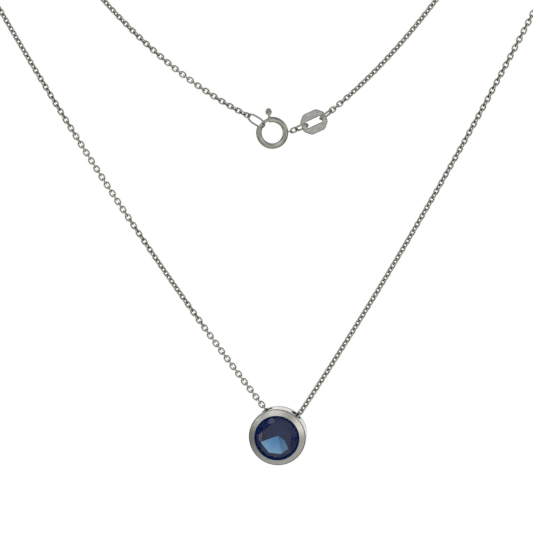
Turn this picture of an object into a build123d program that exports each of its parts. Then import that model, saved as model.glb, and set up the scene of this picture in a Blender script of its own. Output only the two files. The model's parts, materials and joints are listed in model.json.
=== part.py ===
"""Pendant necklace: one fine oval-link chain, a bezel-set round stone that floats on it, a spring ring
clasp and a small blank tag.

The necklace hangs from two unseen supports. Units are millimetres, +Z is up, and the front faces -Y.
The origin is the point midway between the two supports, so everything hangs below it.
"""
from build123d import *
import math
import os

# ---- chain -------------------------------------------------------------------------------------
LINK_WIRE = 0.27            # round wire of an ordinary link
LINK_PITCH = 0.85           # widest spacing of the joints between links; each span fits a whole number
JOINT_GAP = 0.03            # air between two pieces that hook into each other
LINK_INNER_LENGTH = LINK_PITCH + JOINT_GAP
LINK_INNER_WIDTH = 0.58

# ---- how the necklace hangs --------------------------------------------------------------------
SUPPORT_HALF_SPAN = 58.85   # the supports stand at x = plus and minus this, z = 0
SUPPORT_RADIUS = 6.6        # to the centre line of the chain that passes over them
FRONT_CURVE = 190.0         # catenary parameter of the two long strands down to the pendant
BACK_CURVE = 52.5           # catenary parameter of the two short strands down to the clasp
FRONT_BREAKS = (-28.0, -55.0, -82.0)   # heights at which the front loop may fold
BACK_BREAKS = (-16.0, -36.0)           # heights at which the back loop may fold

# ---- stone: round brilliant, in the pendant's axes: u to the right, v up, w towards the viewer ----
STONE_RADIUS = 4.0
TABLE_SHARE = 0.6875        # table corners, crown and pavilion as shares of the radius
CROWN_SHARE = 0.295
PAVILION_SHARE = 0.82
GIRDLE_LOW = 1.48
GIRDLE_THICKNESS = 0.20
GIRDLE_HIGH = GIRDLE_LOW + GIRDLE_THICKNESS
TABLE_HEIGHT = GIRDLE_HIGH + CROWN_SHARE * STONE_RADIUS
TABLE_VERTEX_RADIUS = TABLE_SHARE * STONE_RADIUS
CULET = GIRDLE_LOW - PAVILION_SHARE * STONE_RADIUS
STAR_SLOPE = 0.62           # slopes of the small facets, as shares of the main crown slope
UPPER_GIRDLE_SLOPE = 1.13
LOWER_GIRDLE_STEEPER = 1.6  # degrees steeper than the main pavilion facets
CROWN_TURN = 22.5           # the crown's main facets stand half a step round from the pavilion's
STONE_TURN = 3.0            # how far round the stone was set in its seat

# ---- pendant: the chain passes through the plane w = 0 -------------------------------------------
PENDANT_CENTRE = (2.83, 0.0, -112.17)
PENDANT_YAW = 5.0           # its right side comes forward by this angle
PENDANT_ROLL = 9.4          # its right side drops by this angle
PENDANT_TILT = 8.0          # it nods forward by this angle, where its weight hangs under the holes
SETTING_GAP = 0.03          # air between the stone and its seat
BEZEL_WALL = 0.80
BORE_MARGIN = 0.20          # the bore behind the seat is wider than the stone by this
BEZEL_BORE_RADIUS = STONE_RADIUS + BORE_MARGIN
BEZEL_RADIUS = BEZEL_BORE_RADIUS + BEZEL_WALL
BEZEL_BACK = -1.6
BEZEL_SHOULDER = 1.42       # where the outer wall's chamfer meets the front face
BEZEL_LIP = 2.2             # front edge of the lip that holds the stone
LIP_OVERLAP = 0.07          # how far the lip reaches over the stone
BEZEL_LIP_RADIUS = STONE_RADIUS - LIP_OVERLAP
SEAT_RADIUS = STONE_RADIUS + SETTING_GAP
SEAT_LEDGE = 0.43
SEAT_INNER_RADIUS = SEAT_RADIUS - SEAT_LEDGE
SEAT_SLOPE = PAVILION_SHARE + 0.02     # a touch steeper than the pavilion that it faces
SEAT_UNDERSIDE = 1.08
LIP_UNDERCUT = 0.17         # from the girdle up to the underside of the lip's inner edge
BEZEL_BACK_CHAMFER = 0.12
BEZEL_BORE_CHAMFER = 0.06
SHOULDER_CHAMFER = 0.08
LIP_CHAMFER = 0.06
CHAIN_HOLE_DIAMETER = 2.1
CHAIN_HOLE_ANGLE = 31.4     # each hole from the top of the bezel
CHAIN_HOLE_MID_RADIUS = (BEZEL_RADIUS + BEZEL_BORE_RADIUS) / 2
PASS_DROP = 0.646           # the straight part of the chain lies this far below the holes
PASS_CORNER_SHIFT = (0.557, 0.203)     # from each hole to where its strand would meet that part
PASS_BEND_RADIUS = 3.0
PASS_REACH = 2.1            # from each corner out to the last joint of the piece inside the bezel

# ---- clasp: spring ring, angles run counter-clockwise from +X seen from the front ----------------
CLASP_CENTRE = (1.80, 0.0, -59.04)
CLASP_YAW = 8.0
CLASP_RADIUS = 2.35         # centre line of the tube
BOLT_RADIUS = 0.28
BOLT_GAP = 0.03             # air between the bolt and the tube it slides in
TUBE_WALL = 0.19
CLASP_BORE_RADIUS = BOLT_RADIUS + BOLT_GAP
CLASP_TUBE_RADIUS = CLASP_BORE_RADIUS + TUBE_WALL
CLASP_MOUTH = (107.0, 155.0)
BOLT_ARC = (58.0, 160.0)
KNOB_ANGLE = 100.0
KNOB_SIZE = (1.10, 1.28)    # along the tube, away from the tube
KNOB_THICKNESS = 0.62
KNOB_EDGE = 0.20            # rounding of its two rims
KNOB_DIMPLE_RADIUS = 0.30
KNOB_DIMPLE_LIFT = 0.12     # the dimple's centre stands this far off the front face
KNOB_STANDOFF = 0.24        # between the tube and the knob
KNOB_RADIUS = CLASP_RADIUS + CLASP_TUBE_RADIUS + KNOB_STANDOFF + KNOB_SIZE[1] / 2
STEM_RADIUS = 0.21
STEM_SINK = 0.10            # the stem reaches this far into the saddle on the bolt
STEM_ROOT = 0.34            # and this far into the knob
SADDLE_GAP = 0.005
SLOT_MARGIN = 0.04          # air each side of the stem
STEM_SLOT_END = 49.0
STEM_SLOT_WIDTH = 2 * (STEM_RADIUS + SLOT_MARGIN)
EYE_ANGLE = 4.4
EYE_STANDOFF = 0.33         # from the tube's surface to the centre of the eye
EYE_CENTRE_RADIUS = CLASP_RADIUS + CLASP_TUBE_RADIUS + EYE_STANDOFF
EYE_RING_RADIUS = 0.43
EYE_WIRE = 0.24
EYE_LEG = 0.52              # straight legs from the eye's bend down beside the tube
SOLDER_GAP = 0.01
CATCH_ANGLE = 139.0         # where the end ring lies on the bolt

# ---- the pieces between the clasp and the chain --------------------------------------------------
LEFT_CHAIN_END = (-2.27, 0.0, -56.15)
RIGHT_CHAIN_END = (12.05, 0.0, -55.29)
END_RING_WIRE = 0.32
END_RING_INNER_WIDTH = 2.26
END_RING_ROLL = 62.0
EYE_LINK_WIRE = 0.25
EYE_LINK_INNER_WIDTH = 0.60
EYE_LINK_ROLL = -25.0
EYE_LINK_GAP = 0.09         # air between the bend of the eye and the end of its link
EYE_LINK_END = (6.06, 0.0, -58.38)
JUMP_RING_WIRE = 0.35
JUMP_RING_INNER_WIDTH = 1.25
INNER_JUMP_ROLL = 66.0
OUTER_JUMP_ROLL = 74.0
TAG_CENTRE = (9.12, 0.0, -57.15)
TAG_SLOPE = 25.0
TAG_LENGTH = 4.6
TAG_WIDTH = 3.85
TAG_THICKNESS = 0.40
TAG_CORNER = 1.05
TAG_CORNER_RADIUS = 0.80    # rounding of all eight corners
TAG_BEVEL = 0.10
TAG_END_BAR = 0.85          # plate left between the slot and each end
TAG_SIDE_BAR = 1.35         # plate left between the slot and each long side
SLOT_LENGTH = TAG_LENGTH - 2 * TAG_END_BAR
SLOT_WIDTH = TAG_WIDTH - 2 * TAG_SIDE_BAR
SLOT_CORNER = 0.20

CUT_PAST = 1.0                         # a cutting tool runs this far past what it cuts
FORWARD = Vector(0, -1, 0)             # the direction the front of the necklace faces


def direction(degrees):
    """Unit vector in the XZ plane, counter-clockwise from +X as seen from the front."""
    return Vector(math.cos(math.radians(degrees)), 0, math.sin(math.radians(degrees)))


def facing(along, roll):
    """Normal of a flat loop that runs along a line, rolled away from facing the front."""
    along = along.normalized()
    flat = (FORWARD - along * FORWARD.dot(along)).normalized()
    side = along.cross(flat)
    angle = math.radians(roll)
    return flat * math.cos(angle) + side * math.sin(angle)


# ---- links and rings ----------------------------------------------------------------------------
def oval_loop(inner_length, inner_width, wire):
    """A closed loop of round wire: two straight sides and two half-round ends, long axis on X."""
    bend = (inner_width + wire) / 2
    straight = inner_length - inner_width
    path = SlotCenterToCenter(straight, 2 * bend).wire()
    section = Plane(origin=path @ 0, z_dir=path % 0) * Circle(wire / 2)
    return sweep(section, path=path).solid()


def loop_between(start, end, inner_width, wire, roll):
    """An oval loop whose two end bars are centred on the two given points."""
    along = end - start
    loop = oval_loop(along.length - wire, inner_width, wire)
    spot = Plane(origin=(start + end) / 2, x_dir=along, z_dir=facing(along, roll))
    return loop.moved(spot.location)


# ---- lines the chain follows --------------------------------------------------------------------
class Strand:
    """A hanging strand: a catenary in the upright plane through its low and its high end."""

    def __init__(self, low, high, curve):
        flat = Vector(high.X - low.X, high.Y - low.Y, 0)
        run = flat.length
        rise = high.Z - low.Z
        self.low = low
        self.heading = flat.normalized()
        self.curve = curve
        self.vertex = run / 2 - curve * math.asinh(rise / (2 * curve * math.sinh(run / (2 * curve))))
        self.base = low.Z - curve * math.cosh(self.vertex / curve)
        self.length = self.length_at_run(run)
        self.top_slope = math.sinh((run - self.vertex) / curve)

    def length_at_run(self, run):
        before = math.sinh(self.vertex / self.curve)
        return self.curve * (math.sinh((run - self.vertex) / self.curve) + before)

    def length_at_height(self, height):
        run = self.vertex + self.curve * math.acosh((height - self.base) / self.curve)
        return self.length_at_run(run)

    def point(self, length):
        slope = length / self.curve - math.sinh(self.vertex / self.curve)
        run = self.vertex + self.curve * math.asinh(slope)
        height = self.base + self.curve * math.cosh((run - self.vertex) / self.curve)
        flat = self.low + self.heading * run
        return Vector(flat.X, flat.Y, height)


def strand_to_support(low, support_x, side, curve):
    """The strand from a low point up to where it lies tangent on a support, and that angle."""
    angle = 90.0 - 90.0 * side
    for _ in range(40):
        touch = Vector(support_x, 0, 0) + direction(angle) * SUPPORT_RADIUS
        strand = Strand(low, touch, curve)
        climb = math.degrees(math.atan(strand.top_slope))
        outward = 90.0 - climb if strand.heading.X < 0 else climb - 90.0
        angle = outward if side > 0 else 180.0 + outward
    return strand, angle


def strand_piece(strand, begin, finish):
    """Part of a strand between two lengths from its low end, as (length, point function)."""
    step = 1 if finish > begin else -1
    return abs(finish - begin), lambda s: strand.point(begin + step * s)


def arc_piece(centre, radius, begin, finish):
    """An arc in the XZ plane between two angles, as (length, point function)."""
    step = 1 if finish > begin else -1
    length = abs(math.radians(finish - begin)) * radius
    return length, lambda s: centre + direction(begin + step * math.degrees(s / radius)) * radius


def line_piece(begin, finish):
    way = finish - begin
    return way.length, lambda s: begin + way.normalized() * s


def bend_piece(corner, incoming, outgoing, radius):
    """A round bend that replaces a sharp corner, with the length it takes off each side."""
    incoming = incoming.normalized()
    outgoing = outgoing.normalized()
    turn = math.acos(incoming.dot(outgoing))
    cut = radius * math.tan(turn / 2)
    begin = corner - incoming * cut
    inward = (outgoing - incoming * outgoing.dot(incoming)).normalized()
    centre = begin + inward * radius

    def point(s):
        angle = s / radius
        return centre + incoming * (radius * math.sin(angle)) - inward * (radius * math.cos(angle))

    return (turn * radius, point), cut


def link_count(pieces):
    """Whole number of links that fills some pieces of path at no more than the nominal pitch."""
    return math.ceil(sum(piece[0] for piece in pieces) / LINK_PITCH)


def joints_along(pieces):
    """Evenly spaced joint points along some pieces of path, close to the nominal link pitch."""
    total = sum(piece[0] for piece in pieces)
    count = link_count(pieces)
    joints = []
    for i in range(count + 1):
        left = total * i / count
        for length, point in pieces:
            if left <= length + 1e-6:
                break
            left -= length
        joints.append(point(min(left, length)))
    return joints


def twist_at(stations, share):
    """Twist of the chain about its own line, between stations given as (share, degrees)."""
    for (low, first), (high, last) in zip(stations, stations[1:]):
        if share <= high:
            return first + (last - first) * (share - low) / (high - low)
    return stations[-1][1]


LINK = oval_loop(LINK_INNER_LENGTH, LINK_INNER_WIDTH, LINK_WIRE)


def lay_chain(pieces, stations, laid):
    """Links laid end to end along a path; every second link is turned by a quarter turn."""
    joints = joints_along(pieces)
    links = []
    for i, (begin, finish) in enumerate(zip(joints, joints[1:])):
        share = (i + 0.5) / (len(joints) - 1)
        roll = twist_at(stations, share) + 90 * ((laid + i) % 2)
        way = finish - begin
        spot = Plane(origin=(begin + finish) / 2, x_dir=way, z_dir=facing(way, roll))
        links.append(LINK.moved(spot.location))
    return links


# ---- pendant ------------------------------------------------------------------------------------
def pendant_axes():
    yaw, roll, tilt = (math.radians(a) for a in (PENDANT_YAW, PENDANT_ROLL, PENDANT_TILT))
    u = Vector(math.cos(roll) * math.cos(yaw), -math.cos(roll) * math.sin(yaw), -math.sin(roll))
    level = Vector(-math.sin(yaw), -math.cos(yaw), 0)
    upright = level.cross(u)
    w = level * math.cos(tilt) - upright * math.sin(tilt)
    return u, w.cross(u), w


U_AXIS, V_AXIS, W_AXIS = pendant_axes()
CHAIN_HOLE_V = CHAIN_HOLE_MID_RADIUS * math.cos(math.radians(CHAIN_HOLE_ANGLE))
CHAIN_HOLE_U = CHAIN_HOLE_MID_RADIUS * math.sin(math.radians(CHAIN_HOLE_ANGLE))
PENDANT_PLANE = Plane(origin=PENDANT_CENTRE, x_dir=U_AXIS, z_dir=W_AXIS)


def in_pendant(u, v, w=0.0):
    return Vector(*PENDANT_CENTRE) + U_AXIS * u + V_AXIS * v + W_AXIS * w


def make_bezel():
    """A turned cup, open at the back, with a conical front face and two holes for the chain."""
    seat_top = GIRDLE_LOW - SETTING_GAP
    profile = [
        (BEZEL_RADIUS - BEZEL_BACK_CHAMFER, BEZEL_BACK),
        (BEZEL_RADIUS, BEZEL_BACK + BEZEL_BACK_CHAMFER),
        (BEZEL_RADIUS, BEZEL_SHOULDER - SHOULDER_CHAMFER),
        (BEZEL_RADIUS - SHOULDER_CHAMFER, BEZEL_SHOULDER),
        (BEZEL_LIP_RADIUS + LIP_CHAMFER, BEZEL_LIP),
        (BEZEL_LIP_RADIUS, BEZEL_LIP - LIP_CHAMFER),
        (BEZEL_LIP_RADIUS, GIRDLE_HIGH + LIP_UNDERCUT),
        (SEAT_RADIUS, GIRDLE_HIGH + SETTING_GAP),
        (SEAT_RADIUS, seat_top),
        (SEAT_INNER_RADIUS, seat_top - SEAT_SLOPE * SEAT_LEDGE),
        (SEAT_INNER_RADIUS, SEAT_UNDERSIDE),
        (BEZEL_BORE_RADIUS, SEAT_UNDERSIDE),
        (BEZEL_BORE_RADIUS, BEZEL_BACK + BEZEL_BORE_CHAMFER),
        (BEZEL_BORE_RADIUS + BEZEL_BORE_CHAMFER, BEZEL_BACK),
    ]
    outline = Polyline(*[(r, 0, w) for r, w in profile], close=True)
    cup = revolve(make_face(outline), Axis.Z, 360)
    for side in (-1, 1):
        hole = Cylinder(CHAIN_HOLE_DIAMETER / 2, BEZEL_WALL + 2 * CUT_PAST, rotation=(-90, 0, 0))
        cup = cup - Rot(0, 0, -side * CHAIN_HOLE_ANGLE) * (Pos(0, CHAIN_HOLE_MID_RADIUS, 0) * hole)
    return cup.solid().moved(PENDANT_PLANE.location)


def facet_cut(stone, azimuth, slope, radius, height):
    """Grind one flat facet: it passes through the given radius and height and slopes outward."""
    size = 4 * STONE_RADIUS
    tool = Pos(0, 0, size / 2) * Box(size, size, size)
    spot = Rot(0, 0, azimuth) * Pos(radius, 0, height) * Rot(0, slope, 0)
    return stone - spot * tool


def make_stone():
    """Round brilliant with an eight-sided table, crown, thin girdle and pavilion."""
    depth = TABLE_HEIGHT - CULET
    stone = Pos(0, 0, CULET + depth / 2) * Cylinder(STONE_RADIUS, depth)
    crown_rise = TABLE_HEIGHT - GIRDLE_HIGH
    main = math.degrees(math.atan(crown_rise / (STONE_RADIUS - TABLE_VERTEX_RADIUS)))
    star_inset = TABLE_VERTEX_RADIUS * math.cos(math.radians(22.5))
    for i in range(8):
        crown = 45 * i + CROWN_TURN
        stone = facet_cut(stone, crown, main, STONE_RADIUS, GIRDLE_HIGH)
        stone = facet_cut(stone, crown + 22.5, main * STAR_SLOPE, star_inset, TABLE_HEIGHT)
    edge = STONE_RADIUS * math.cos(math.radians(11.25))
    for i in range(16):
        stone = facet_cut(stone, 22.5 * i + 11.25, main * UPPER_GIRDLE_SLOPE, edge, GIRDLE_HIGH)
    pavilion = 180 - math.degrees(math.atan(PAVILION_SHARE))
    for i in range(8):
        stone = facet_cut(stone, 45 * i, pavilion, 0.0, CULET)
    for i in range(16):
        stone = facet_cut(stone, 22.5 * i + 11.25, pavilion - LOWER_GIRDLE_STEEPER, edge, GIRDLE_LOW)
    return (Rot(0, 0, STONE_TURN) * stone).solid().moved(PENDANT_PLANE.location)


# ---- clasp --------------------------------------------------------------------------------------
CLASP_RIGHT = Vector(math.cos(math.radians(CLASP_YAW)), math.sin(math.radians(CLASP_YAW)), 0)
CLASP_FRONT = CLASP_RIGHT.cross(Vector(0, 0, 1))
CLASP_PLANE = Plane(origin=CLASP_CENTRE, x_dir=CLASP_RIGHT, z_dir=CLASP_FRONT)


def in_clasp(radius, degrees):
    along = CLASP_RIGHT * math.cos(math.radians(degrees)) + Vector(0, 0, math.sin(math.radians(degrees)))
    return Vector(*CLASP_CENTRE) + along * radius


def bent_rod(radius, begin, finish):
    """Round rod bent on the clasp's centre line between two angles."""
    return Rot(0, 0, begin) * Torus(CLASP_RADIUS, radius, major_angle=finish - begin, align=None)


def make_clasp_tube():
    """The hollow ring, open at the mouth, with a slot along its outside for the knob's stem."""
    begin = CLASP_MOUTH[1]
    finish = CLASP_MOUTH[0] + 360
    bore = bent_rod(CLASP_BORE_RADIUS, begin - CUT_PAST, finish + CUT_PAST)
    tube = bent_rod(CLASP_TUBE_RADIUS, begin, finish) - bore
    slot_sweep = CLASP_MOUTH[0] - STEM_SLOT_END + 4 * CUT_PAST
    reach = CLASP_RADIUS + CLASP_TUBE_RADIUS + CUT_PAST
    slot = Cylinder(reach, STEM_SLOT_WIDTH, arc_size=slot_sweep, align=None)
    slot = slot - Cylinder(CLASP_RADIUS, STEM_SLOT_WIDTH)
    tube = tube - Rot(0, 0, STEM_SLOT_END) * (Pos(0, 0, -STEM_SLOT_WIDTH / 2) * slot)
    return tube.solid().moved(CLASP_PLANE.location)


def make_clasp_bolt():
    """The sliding bolt that closes the mouth."""
    rod = bent_rod(BOLT_RADIUS, *BOLT_ARC)
    return rod.solid().moved(CLASP_PLANE.location)


def make_trigger_knob():
    """Oval thumb piece with a dimple, on a short stem that ends in a saddle on the bolt."""
    disc = extrude(Ellipse(KNOB_SIZE[1] / 2, KNOB_SIZE[0] / 2), KNOB_THICKNESS / 2, both=True)
    for side in (0, -1):
        disc = fillet(disc.faces().sort_by(Axis.Z)[side].edges(), KNOB_EDGE)
    disc = disc - Pos(0, 0, KNOB_THICKNESS / 2 + KNOB_DIMPLE_LIFT) * Sphere(KNOB_DIMPLE_RADIUS)
    foot = CLASP_RADIUS + BOLT_RADIUS - STEM_SINK
    top = KNOB_RADIUS - KNOB_SIZE[1] / 2 + STEM_ROOT
    stem = Pos((foot + top) / 2, 0, 0) * Cylinder(STEM_RADIUS, top - foot, rotation=(0, 90, 0))
    knob = Rot(0, 0, KNOB_ANGLE) * (Pos(KNOB_RADIUS, 0, 0) * disc + stem)
    knob = knob - bent_rod(BOLT_RADIUS + SADDLE_GAP, *BOLT_ARC)
    return knob.solid().moved(CLASP_PLANE.location)


def make_clasp_eye():
    """Wire staple soldered to the outside of the tube, standing across the clasp's own plane."""
    bend = Torus(EYE_RING_RADIUS, EYE_WIRE / 2, major_angle=180, align=None)
    eye = Rot(90, 0, 0) * (Rot(0, 0, -90) * bend)
    for side in (-1, 1):
        leg = Cylinder(EYE_WIRE / 2, EYE_LEG, rotation=(0, 90, 0))
        eye = eye + Pos(-EYE_LEG / 2, 0, side * EYE_RING_RADIUS) * leg
    eye = Rot(0, 0, EYE_ANGLE) * (Pos(EYE_CENTRE_RADIUS, 0, 0) * eye)
    eye = eye - bent_rod(CLASP_TUBE_RADIUS + SOLDER_GAP, EYE_ANGLE - 30, EYE_ANGLE + 30)
    return eye.solid().moved(CLASP_PLANE.location)


# ---- tag ----------------------------------------------------------------------------------------
def make_tag():
    """Blank eight-sided plate with a long slot; every edge of both faces is bevelled."""
    half_l, half_w = TAG_LENGTH / 2, TAG_WIDTH / 2
    corners = [
        (half_l, half_w - TAG_CORNER),
        (half_l - TAG_CORNER, half_w),
        (TAG_CORNER - half_l, half_w),
        (-half_l, half_w - TAG_CORNER),
        (-half_l, TAG_CORNER - half_w),
        (TAG_CORNER - half_l, -half_w),
        (half_l - TAG_CORNER, -half_w),
        (half_l, TAG_CORNER - half_w),
    ]
    slot = RectangleRounded(SLOT_LENGTH, SLOT_WIDTH, SLOT_CORNER)
    octagon = make_face(Polyline(*corners, close=True))
    outline = fillet(octagon.vertices(), TAG_CORNER_RADIUS) - slot
    plate = extrude(outline, TAG_THICKNESS / 2, both=True)
    for side in (0, -1):
        plate = chamfer(plate.faces().sort_by(Axis.Z)[side].edges(), TAG_BEVEL)
    spot = Plane(origin=TAG_CENTRE, x_dir=direction(TAG_SLOPE), z_dir=FORWARD)
    return plate.solid().moved(spot.location)


# ---- assemble -----------------------------------------------------------------------------------
left_low = Vector(*LEFT_CHAIN_END)
right_low = Vector(*RIGHT_CHAIN_END)
pass_left = in_pendant(PASS_CORNER_SHIFT[0] - CHAIN_HOLE_U, CHAIN_HOLE_V - PASS_DROP)
pass_right = in_pendant(PASS_CORNER_SHIFT[1] + CHAIN_HOLE_U, CHAIN_HOLE_V - PASS_DROP)
back_left, back_left_angle = strand_to_support(left_low, -SUPPORT_HALF_SPAN, 1, BACK_CURVE)
front_left, front_left_angle = strand_to_support(pass_left, -SUPPORT_HALF_SPAN, -1, FRONT_CURVE)
front_right, front_right_angle = strand_to_support(pass_right, SUPPORT_HALF_SPAN, 1, FRONT_CURVE)
back_right, back_right_angle = strand_to_support(right_low, SUPPORT_HALF_SPAN, -1, BACK_CURVE)

left_marks = [front_left.length_at_height(height) for height in FRONT_BREAKS]
right_marks = [front_right.length_at_height(height) for height in FRONT_BREAKS]
back_left_marks = [back_left.length_at_height(height) for height in BACK_BREAKS]
back_right_marks = [back_right.length_at_height(height) for height in BACK_BREAKS]
left_peg = Vector(-SUPPORT_HALF_SPAN, 0, 0)
right_peg = Vector(SUPPORT_HALF_SPAN, 0, 0)

left_way = pass_left - front_left.point(PASS_REACH)
right_way = front_right.point(PASS_REACH) - pass_right
across = pass_right - pass_left
along = across.normalized()
left_bend, left_cut = bend_piece(pass_left, left_way, across, PASS_BEND_RADIUS)
right_bend, right_cut = bend_piece(pass_right, across, right_way, PASS_BEND_RADIUS)

# Each span: node, pieces of path, twist stations. The order follows the chain from end to end.
left_spans = [
    ("chain_back_left_lower", [strand_piece(back_left, 0, back_left_marks[1])],
     ((0, 28), (0.4, 0), (1, 42))),
    ("chain_back_left_upper", [strand_piece(back_left, back_left_marks[1], back_left_marks[0])],
     ((0, 42), (1, 30))),
    ("chain_loop_left", [
        strand_piece(back_left, back_left_marks[0], back_left.length),
        arc_piece(left_peg, SUPPORT_RADIUS, back_left_angle, front_left_angle),
        strand_piece(front_left, front_left.length, left_marks[0]),
    ], ((0, 30), (0.3, 0), (1, 0))),
    ("chain_front_left_upper", [strand_piece(front_left, left_marks[0], left_marks[1])],
     ((0, 0), (0.5, 45), (1, 20))),
    ("chain_front_left_middle", [strand_piece(front_left, left_marks[1], left_marks[2])],
     ((0, 20), (0.3, 0), (0.6, 0), (1, 40))),
    ("chain_front_left_lower", [strand_piece(front_left, left_marks[2], PASS_REACH)],
     ((0, 40), (0.2, 40), (0.5, 0), (1, 0))),
    ("chain_through_bezel", [
        line_piece(front_left.point(PASS_REACH), pass_left - left_way.normalized() * left_cut),
        left_bend,
        line_piece(pass_left + along * left_cut, pass_right - along * right_cut),
        right_bend,
        line_piece(pass_right + right_way.normalized() * right_cut, front_right.point(PASS_REACH)),
    ], ((0, 0), (1, 40))),
    ("chain_front_right_lower", [strand_piece(front_right, PASS_REACH, right_marks[2])],
     ((0, 40), (1, 40))),
    ("chain_front_right_middle", [strand_piece(front_right, right_marks[2], right_marks[1])],
     ((0, 40), (1, 25))),
    ("chain_front_right_upper", [strand_piece(front_right, right_marks[1], right_marks[0])],
     ((0, 25), (1, 0))),
]
over_right = [
    strand_piece(front_right, right_marks[0], front_right.length),
    arc_piece(right_peg, SUPPORT_RADIUS, front_right_angle, back_right_angle),
    strand_piece(back_right, back_right.length, back_right_marks[0]),
]
down_upper = [strand_piece(back_right, back_right_marks[0], back_right_marks[1])]
down_lower = [strand_piece(back_right, back_right_marks[1], 0)]
link_total = sum(link_count(pieces) for _, pieces, _ in left_spans)
link_total += link_count(over_right) + link_count(down_upper) + link_count(down_lower)
# The last link lies flat to the front; an extra quarter turn over the support sees to it.
spare = -90 * ((link_total - 1) % 2)
right_spans = [
    ("chain_loop_right", over_right, ((0, 0), (1, spare))),
    ("chain_back_right_upper", down_upper, ((0, spare), (0.6, spare + 10), (1, spare + 40))),
    ("chain_back_right_lower", down_lower, ((0, spare + 40), (0.8, spare + 40), (1, spare))),
]

NODES = {}
links_laid = 0
for node, pieces, stations in left_spans + right_spans:
    NODES[node] = lay_chain(pieces, stations, links_laid)
    links_laid += len(NODES[node])

chain_reach = (LINK_INNER_LENGTH + LINK_WIRE - LINK_PITCH) / 2
catch = in_clasp(CLASP_RADIUS - BOLT_RADIUS - END_RING_WIRE / 2 - 2 * JOINT_GAP, CATCH_ANGLE)
ring_way = (catch - left_low).normalized()
ring_start = left_low - ring_way * ((LINK_WIRE + END_RING_WIRE) / 2 + JOINT_GAP - chain_reach)
NODES["end_ring"] = [loop_between(ring_start, catch, END_RING_INNER_WIDTH, END_RING_WIRE, END_RING_ROLL)]

eye_top = EYE_CENTRE_RADIUS + EYE_RING_RADIUS
eye_bar = in_clasp(eye_top - (EYE_WIRE + EYE_LINK_WIRE) / 2 - EYE_LINK_GAP, EYE_ANGLE)
link_end = Vector(*EYE_LINK_END)
link_way = (link_end - eye_bar).normalized()
hook = (EYE_LINK_WIRE + JUMP_RING_WIRE) / 2 + JOINT_GAP
NODES["eye_link"] = [loop_between(
    eye_bar, link_end + link_way * hook / 2, EYE_LINK_INNER_WIDTH, EYE_LINK_WIRE, EYE_LINK_ROLL)]

slot_reach = SLOT_LENGTH / 2 - JUMP_RING_WIRE / 2 - 2 * JOINT_GAP
slot_left = Vector(*TAG_CENTRE) - direction(TAG_SLOPE) * slot_reach
slot_right = Vector(*TAG_CENTRE) + direction(TAG_SLOPE) * slot_reach
jump_way = (slot_left - link_end).normalized()
NODES["jump_ring_inner"] = [loop_between(
    link_end - jump_way * hook / 2, slot_left, JUMP_RING_INNER_WIDTH, JUMP_RING_WIRE, INNER_JUMP_ROLL)]
outer_way = (right_low - slot_right).normalized()
outer_end = right_low + outer_way * ((LINK_WIRE + JUMP_RING_WIRE) / 2 + JOINT_GAP - chain_reach)
NODES["jump_ring_outer"] = [
    loop_between(slot_right, outer_end, JUMP_RING_INNER_WIDTH, JUMP_RING_WIRE, OUTER_JUMP_ROLL)]

NODES["bezel"] = [make_bezel()]
NODES["stone"] = [make_stone()]
NODES["clasp_tube"] = [make_clasp_tube()]
NODES["clasp_bolt"] = [make_clasp_bolt()]
NODES["trigger_knob"] = [make_trigger_knob()]
NODES["clasp_eye"] = [make_clasp_eye()]
NODES["tag"] = [make_tag()]

os.makedirs("parts", exist_ok=True)
for node, solids in NODES.items():
    export_step(Compound(children=solids), f"parts/{node}.step")
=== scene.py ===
"""Pendant necklace: camera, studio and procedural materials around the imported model.

Everything is in metres, in the model's own frame: +Z is up and the front faces -Y.
"""
import json
import math

import bpy
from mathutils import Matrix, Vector


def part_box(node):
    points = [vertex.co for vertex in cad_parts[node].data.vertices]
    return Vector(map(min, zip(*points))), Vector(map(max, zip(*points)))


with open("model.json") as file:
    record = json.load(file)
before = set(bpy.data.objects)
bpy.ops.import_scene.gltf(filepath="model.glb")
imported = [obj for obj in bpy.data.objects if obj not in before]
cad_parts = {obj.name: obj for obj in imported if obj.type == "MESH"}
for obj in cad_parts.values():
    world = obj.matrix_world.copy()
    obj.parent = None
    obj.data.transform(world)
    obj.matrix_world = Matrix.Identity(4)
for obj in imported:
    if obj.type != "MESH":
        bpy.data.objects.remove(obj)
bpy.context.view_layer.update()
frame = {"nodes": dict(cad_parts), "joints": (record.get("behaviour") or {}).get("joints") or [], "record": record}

MM = 0.001
UP = Vector((0.0, 0.0, 1.0))
BACKWARD = Vector((0.0, 1.0, 0.0))
WHITE = (1.0, 1.0, 1.0)
NODES = frame["nodes"]
CHAIN_NODES = [name for name in NODES if name.startswith("chain_")]

# ---- camera and floor ----------------------------------------------------------------------------
CAMERA_TARGET = Vector((0.8, 0.0, -82.5)) * MM
CAMERA_DISTANCE = 420 * MM
CAMERA_CLIP_START = 10 * MM
CAMERA_CLIP_END = 20.0
VIEW_WIDTH = 93.5 * MM              # what the picture takes in at the chain's plane
SENSOR_WIDTH = 36.0                 # in Blender's own millimetres
FLOOR_HEIGHT = -300 * MM
FLOOR_RADIUS = 600 * MM
FLOOR_SIDES = 96

# ---- the bezel, measured from the pendant's centre -----------------------------------------------
BACK_MOUNT_SIDE = 4.6 * MM          # the flat at the back that the record gives lies this far to the left
BACK_MOUNT_DEPTH = 1.6 * MM         # and this far back
SHOULDER_HEIGHT = 1.42 * MM         # the face's outer edge lies this far forward
SHOULDER_BLEND = 0.03 * MM          # half of the band where the face's finish gives way to the wall's
SHOULDER_SHADE_REACH = 0.07 * MM           # reach of the painted shade line along that edge
BACK_SHADE_REACH = 1.1 * MM                # reach of the painted shade band at the back of the wall
SOLID_PART = 0.6                    # share of a painted shade line's or band's reach that has its full colour
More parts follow.
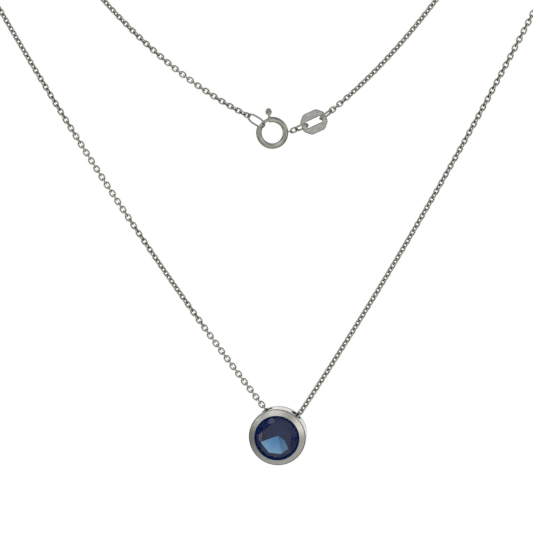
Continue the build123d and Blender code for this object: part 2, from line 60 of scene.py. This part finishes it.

# ---- finishes ------------------------------------------------------------------------------------
NOISE_RANGE = (0.3, 0.7)            # most of a noise's values lie in here
SHARP_RANGE = (0.38, 0.62)          # a narrower range, for streaks that stand out
FACE_RANGE = (0.75, 0.95)           # how squarely a surface faces front or back: bevel with painted shade, then plate
# Painted shade for the wires, from an ambient occlusion node.
SHADE_PAINT_REACH = 0.40 * MM           # painted shade: pieces this close to each other begin to look dark
SHADE_PAINT_RANGE = (0.60, 1.0)         # share of open space: full painted shade, then fully bright
SHADE_PAINT_SAMPLES = 4
WORN_SHARE = 0.9                    # how bright the worn patches of a wire are beside the rest
STONE_IOR = 1.665
STONE_DEPTH_COLOUR = (0.11, 0.57, 0.79)
STONE_DENSITY = 700.0               # to the metre

# ---- the studio as reflections see it ------------------------------------------------------------
# Stops are (place, colour). Front to back runs from the viewer's side, 0, to behind the necklace, 1.
FRONT_TO_BACK = (
    (0.00, (0.52, 0.52, 0.51)),
    (0.09, (0.46, 0.46, 0.45)),
    (0.14, (0.14, 0.14, 0.13)),
    (0.19, (0.14, 0.14, 0.13)),
    (0.26, (0.42, 0.42, 0.41)),
    (0.38, (0.38, 0.38, 0.37)),
    (0.47, (0.04, 0.04, 0.035)),
    (0.76, (0.05, 0.05, 0.04)),
    (0.91, (0.66, 0.66, 0.64)),
    (1.00, WHITE),
)
# Low to high runs from straight down, 0, to straight up, 1, and is added to the other.
LOW_TO_HIGH = (
    (0.00, (0.35, 0.35, 0.34)),
    (0.25, (0.16, 0.16, 0.155)),
    (0.45, (0.0, 0.0, 0.0)),
    (0.60, (0.0, 0.0, 0.0)),
    (0.75, (0.07, 0.07, 0.07)),
    (1.00, (0.07, 0.07, 0.07)),
)
STONE_BACKLIGHT = (0.82, 0.76, 0.77)    # what the stone shows from behind and above the necklace
STONE_SURROUND = (0.15, 0.14, 0.22)     # and from everywhere else
BACKLIGHT_FROM_Y = 0.35                 # a ray meets the backlight from this far backward
BACKLIGHT_FROM_Z = 0.1                  # and this far upward, as parts of its unit direction

# Name, place, size and power of each lamp, and its colour.
LAMPS = (
    ("key_above", (-0.15, -0.35, 0.45), (0.5, 0.35), 0.30, WHITE),
    ("fill_left", (-0.55, -0.25, 0.0), (0.25, 0.5), 0.30, WHITE),
    ("fill_right", (0.55, -0.3, 0.05), (0.2, 0.5), 0.34, (1.0, 0.96, 0.90)),
)


def named(rows, name):
    """The mount or joint of that name."""
    return next(row for row in rows if row["name"] == name)


# ---- helpers for node trees ----------------------------------------------------------------------
def enabled(sockets):
    """A Mix node holds sockets for every data type; these are the ones in use."""
    return [socket for socket in sockets if socket.enabled]


class Tree:
    """A node tree and short ways to add to it. A value is a socket, a number or a colour."""

    def __init__(self, tree):
        self.tree = tree
        tree.nodes.clear()

    def add(self, kind, **settings):
        node = self.tree.nodes.new("ShaderNode" + kind)
        for key, value in settings.items():
            setattr(node, key, value)
        return node

    def put(self, value, socket):
        if isinstance(value, tuple):
            socket.default_value = (*value, 1.0)
        elif isinstance(value, (int, float)):
            socket.default_value = value
        else:
            self.tree.links.new(value, socket)

    def math(self, operation, *values):
        node = self.add("Math", operation=operation)
        for value, socket in zip(values, node.inputs):
            self.put(value, socket)
        return node.outputs["Value"]

    def blend(self, share, first, second):
        node = self.add("Mix", data_type="RGBA")
        for value, socket in zip((share, first, second), enabled(node.inputs)):
            self.put(value, socket)
        return enabled(node.outputs)[0]

    def ramp(self, share, stops):
        node = self.add("ValToRGB")
        self.put(share, node.inputs["Fac"])
        band = node.color_ramp
        while len(band.elements) < len(stops):
            band.elements.new(0.5)
        for element, (place, colour) in zip(band.elements, stops):
            element.position = place
            element.color = (*colour, 1.0)
        return node.outputs["Color"]

    def split(self, vector):
        node = self.add("SeparateXYZ")
        self.put(vector, node.inputs["Vector"])
        return node.outputs

    def join(self, parts):
        node = self.add("CombineXYZ")
        for part, socket in zip(parts, node.inputs):
            self.put(part, socket)
        return node.outputs["Vector"]


class Material(Tree):
    """A material with a Principled shader. Its position is in the coordinates of the model at rest."""

    def __init__(self, name):
        self.material = bpy.data.materials.new(name)
        self.material.use_nodes = True
        super().__init__(self.material.node_tree)
        self.output = self.add("OutputMaterial")
        self.shader = self.add("BsdfPrincipled")
        self.put(self.shader.outputs["BSDF"], self.output.inputs["Surface"])
        coordinates = self.add("TexCoord").outputs
        self.position = coordinates["Object"]
        self.normal = coordinates["Normal"]

    def feed(self, socket, value):
        self.put(value, self.shader.inputs[socket])

    def measured(self, origin, axes):
        """Distances from an origin along three given axes."""
        shift = self.add("VectorMath", operation="SUBTRACT")
        self.put(self.position, shift.inputs[0])
        shift.inputs[1].default_value = origin
        parts = []
        for axis in axes:
            dot = self.add("VectorMath", operation="DOT_PRODUCT")
            self.put(shift.outputs["Vector"], dot.inputs[0])
            dot.inputs[1].default_value = axis
            parts.append(dot.outputs["Value"])
        return parts

    def distance(self, across, up):
        """Distance from an axis, from the two distances across it."""
        squares = [self.math("MULTIPLY", part, part) for part in (across, up)]
        return self.math("SQRT", self.math("ADD", *squares))

    def noise(self, cells, detail, place=None):
        """Noise with about so many cells to the metre."""
        node = self.add("TexNoise")
        node.inputs["Scale"].default_value = cells
        node.inputs["Detail"].default_value = detail
        self.put(place or self.position, node.inputs["Vector"])
        return node.outputs["Fac"]

    def drawn_noise(self, parts, cells, detail):
        """Noise drawn out into lines, with its own number of cells to the metre along each part."""
        scaled = [self.math("MULTIPLY", part, count) for part, count in zip(parts, cells)]
        return self.noise(1.0, detail, self.join(scaled))

    def spread(self, value, low=0.0, high=1.0, over=NOISE_RANGE):
        """Takes a value over its range and gives one from low to high."""
        node = self.add("MapRange")
        self.put(value, node.inputs["Value"])
        for key, number in zip(("From Min", "From Max", "To Min", "To Max"), (*over, low, high)):
            node.inputs[key].default_value = number
        return node.outputs["Result"]

    def mottle(self, value, first, second, over=NOISE_RANGE):
        """A colour that varies with a noise value."""
        return self.blend(self.spread(value, over=over), first, second)

    def near(self, value, centre, reach):
        """One where a value lies close to a centre, falling to nought at the given reach from it."""
        away = self.math("ABSOLUTE", self.math("SUBTRACT", value, centre))
        return self.spread(away, low=1.0, high=0.0, over=(reach * SOLID_PART, reach))

    def bump(self, height, distance):
        node = self.add("Bump")
        node.inputs["Strength"].default_value = 1.0
        node.inputs["Distance"].default_value = distance
        self.put(height, node.inputs["Height"])
        self.feed("Normal", node.outputs["Normal"])

    def put_on(self, *names):
        for name in names:
            slots = NODES[name].data.materials
            slots.clear()
            slots.append(self.material)


def metal(name):
    made = Material(name)
    made.feed("Metallic", 1.0)
    return made


# ---- materials -----------------------------------------------------------------------------------
def polished_wire(name, light, dark, targets):
    """Plated wire: bright on its round side, with painted shade where pieces meet."""
    made = metal(name)
    worn = tuple(channel * WORN_SHARE for channel in light)
    colour = made.mottle(made.noise(cells=2600, detail=3.0), worn, light)
    # Painted shade: the colour turns dark where other pieces lie close by.
    shade_occlusion = made.add("AmbientOcclusion", samples=SHADE_PAINT_SAMPLES)
    shade_occlusion.inputs["Distance"].default_value = SHADE_PAINT_REACH
    unshaded_share = made.spread(shade_occlusion.outputs["AO"], over=SHADE_PAINT_RANGE)
    made.feed("Base Color", made.blend(unshaded_share, dark, colour))
    made.feed("Roughness", made.spread(made.noise(cells=5200, detail=2.0), low=0.13, high=0.24))
    made.bump(made.noise(cells=9000, detail=2.0), distance=0.004 * MM)
    made.put_on(*targets)


def satin_bezel():
    """A turned face with fine rings, and a smoother wall; painted shade makes a dark line round the face and
    darkens the back of the wall.
    """
    mount = named(frame["record"]["mounts"], "pendant_back")
    across = Vector(named(frame["joints"], "pendant_nod")["axis"])
    front = -Vector(mount["axis"])
    centre = Vector(mount["pos_m"]) + across * BACK_MOUNT_SIDE + front * BACK_MOUNT_DEPTH
    made = metal("bezel_satin")
    u, v, w = made.measured(centre, (across, front.cross(across), front))
    rings = made.drawn_noise((made.distance(u, v), 0.0, w), cells=(26000, 1, 9000), detail=4.0)
    on_face = made.spread(w, over=(SHOULDER_HEIGHT - SHOULDER_BLEND, SHOULDER_HEIGHT + SHOULDER_BLEND))
    face = made.mottle(made.noise(cells=900, detail=3.0), (0.78, 0.765, 0.73), (0.86, 0.845, 0.805))
    colour = made.blend(on_face, (0.78, 0.78, 0.77), face)
    # Painted shade: a dark line along the face's outer edge.
    colour = made.blend(made.near(w, SHOULDER_HEIGHT, SHOULDER_SHADE_REACH), colour, (0.20, 0.195, 0.18))
    # Painted shade: a darker band at the back of the wall.
    colour = made.blend(made.near(w, -BACK_MOUNT_DEPTH, BACK_SHADE_REACH), colour, (0.24, 0.235, 0.22))
    made.feed("Base Color", colour)
    wall_roughness = made.math("MULTIPLY", made.math("SUBTRACT", 1.0, on_face), 0.16)
    face_roughness = made.spread(rings, low=0.30, high=0.46)
    made.feed("Roughness", made.math("MULTIPLY_ADD", on_face, face_roughness, wall_roughness))
    made.bump(rings, distance=0.006 * MM)
    made.put_on("bezel")


def frosted_tag():
    """A blasted plate: fine pits all over, soft brush lines along it, and painted shade on the bevels."""
    along = Vector(named(frame["joints"], "tag_turn")["axis"])
    low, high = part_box("tag")
    made = metal("tag_frosted")
    parts = made.measured((low + high) / 2, (along, BACKWARD.cross(along), BACKWARD))
    brush = made.drawn_noise(parts, cells=(1200, 14000, 6000), detail=3.0)
    pits = made.noise(cells=16000, detail=3.0)
    face = made.mottle(brush, (0.52, 0.52, 0.50), (0.95, 0.945, 0.90), over=SHARP_RANGE)
    # Painted shade: bevels, which face neither front nor back, turn dark.
    facing = made.math("ABSOLUTE", made.split(made.normal)["Y"])
    on_face = made.spread(facing, over=FACE_RANGE)
    made.feed("Base Color", made.blend(on_face, (0.12, 0.12, 0.105), face))
    made.feed("Roughness", made.spread(pits, low=0.34, high=0.5))
    half_brush = made.math("MULTIPLY", brush, 0.5)
    made.bump(made.math("ADD", half_brush, pits), distance=0.01 * MM)
    made.put_on("tag")


def clasp_metal():
    """Drawn tube: fine streaks that run round the clasp."""
    front = Vector(named(frame["joints"], "trigger_slide_round")["axis"])
    right = UP.cross(front).normalized()
    low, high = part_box("clasp_tube")
    made = metal("clasp_drawn")
    a, b, c = made.measured((low + high) / 2, (right, UP, front))
    angle = made.math("ARCTAN2", b, a)
    streaks = made.drawn_noise((made.distance(a, b), angle, c), cells=(9000, 1, 9000), detail=3.0)
    colour = made.mottle(streaks, (0.28, 0.275, 0.24), (0.82, 0.81, 0.73), over=SHARP_RANGE)
    made.feed("Base Color", colour)
    made.feed("Roughness", made.spread(streaks, low=0.16, high=0.3))
    made.bump(streaks, distance=0.0015 * MM)
    made.put_on("clasp_tube", "clasp_bolt", "trigger_knob", "clasp_eye")


def blue_stone():
    """Deep blue faceted stone that thins to light blue where the eye sees through it."""
    made = Material("stone_blue")
    made.feed("Transmission Weight", 1.0)
    made.feed("IOR", STONE_IOR)
    made.feed("Roughness", 0.0)
    smear = made.noise(cells=700, detail=2.0)
    made.feed("Base Color", made.mottle(smear, (0.86, 0.93, 0.98), (0.92, 0.96, 1.0)))
    depth = made.add("VolumeAbsorption")
    made.put(STONE_DEPTH_COLOUR, depth.inputs["Color"])
    made.put(STONE_DENSITY, depth.inputs["Density"])
    made.put(depth.outputs["Volume"], made.output.inputs["Volume"])
    made.put_on("stone")


# ---- studio --------------------------------------------------------------------------------------
def make_floor():
    bpy.ops.mesh.primitive_circle_add(
        vertices=FLOOR_SIDES, radius=FLOOR_RADIUS, fill_type="NGON", location=(0, 0, FLOOR_HEIGHT))
    floor = bpy.context.object
    floor.name = "floor"
    made = Material("floor_pale")
    made.feed("Roughness", 0.8)
    smear = made.noise(cells=14, detail=3.0)
    made.feed("Base Color", made.mottle(smear, (0.90, 0.90, 0.89), (0.93, 0.93, 0.92)))
    floor.data.materials.append(made.material)
    floor.visible_glossy = False            # the metal and the stone see the studio's own light instead
    floor.visible_transmission = False


def make_world():
    """White to the lens and to the floor, and a studio of bright and dark bands to the reflections.

    Light that has passed through the stone sees neither, but a plain bright patch and a dim surround.
    """
    world = bpy.data.worlds.new("studio")
    bpy.context.scene.world = world
    world.use_nodes = True
    made = Tree(world.node_tree)
    way = made.split(made.add("TexCoord").outputs["Generated"])
    path = made.add("LightPath").outputs

    reflected = made.add("VectorMath", operation="ADD")
    for axis, stops, socket in (("Y", FRONT_TO_BACK, 0), ("Z", LOW_TO_HIGH, 1)):
        share = made.math("MULTIPLY_ADD", way[axis], 0.5, 0.5)
        made.put(made.ramp(share, stops), reflected.inputs[socket])

    behind = made.math("GREATER_THAN", way["Y"], BACKLIGHT_FROM_Y)
    above = made.math("GREATER_THAN", way["Z"], BACKLIGHT_FROM_Z)
    through = made.blend(made.math("MULTIPLY", behind, above), STONE_SURROUND, STONE_BACKLIGHT)
    studio = made.blend(path["Is Transmission Ray"], reflected.outputs["Vector"], through)
    plain = made.math("MAXIMUM", path["Is Camera Ray"], path["Is Diffuse Ray"])
    background = made.add("Background")
    made.put(made.blend(plain, studio, WHITE), background.inputs["Color"])
    made.put(background.outputs["Background"], made.add("OutputWorld").inputs["Surface"])


def make_lamp(name, place, size, power, colour):
    """A soft rectangular lamp that points at the middle of the picture."""
    lamp = bpy.data.lights.new(name, "AREA")
    lamp.shape = "RECTANGLE"
    lamp.size, lamp.size_y = size
    lamp.energy = power
    lamp.color = colour
    holder = bpy.data.objects.new(name, lamp)
    bpy.context.scene.collection.objects.link(holder)
    holder.visible_transmission = False     # no lamp glints inside the stone
    holder.location = place
    holder.rotation_euler = (CAMERA_TARGET - Vector(place)).to_track_quat("-Z", "Y").to_euler()


def make_camera():
    data = bpy.data.cameras.new("camera")
    data.sensor_width = SENSOR_WIDTH
    data.lens = SENSOR_WIDTH * CAMERA_DISTANCE / VIEW_WIDTH
    data.clip_start = CAMERA_CLIP_START
    data.clip_end = CAMERA_CLIP_END
    camera = bpy.data.objects.new("camera", data)
    bpy.context.scene.collection.objects.link(camera)
    camera.location = CAMERA_TARGET - BACKWARD * CAMERA_DISTANCE
    camera.rotation_euler = (math.radians(90), 0.0, 0.0)
    bpy.context.scene.camera = camera


# ---- put together --------------------------------------------------------------------------------
# The second colour of each wire is its painted shade where pieces meet.
polished_wire("chain_wire", (0.74, 0.73, 0.65), (0.012, 0.012, 0.006), CHAIN_NODES)
polished_wire("ring_wire", (0.54, 0.53, 0.455), (0.04, 0.04, 0.025),
              ("end_ring", "eye_link", "jump_ring_inner", "jump_ring_outer"))
satin_bezel()
frosted_tag()
clasp_metal()
blue_stone()
make_floor()
make_world()
for row in LAMPS:
    make_lamp(*row)
make_camera()
bpy.context.scene.view_settings.view_transform = "Standard"
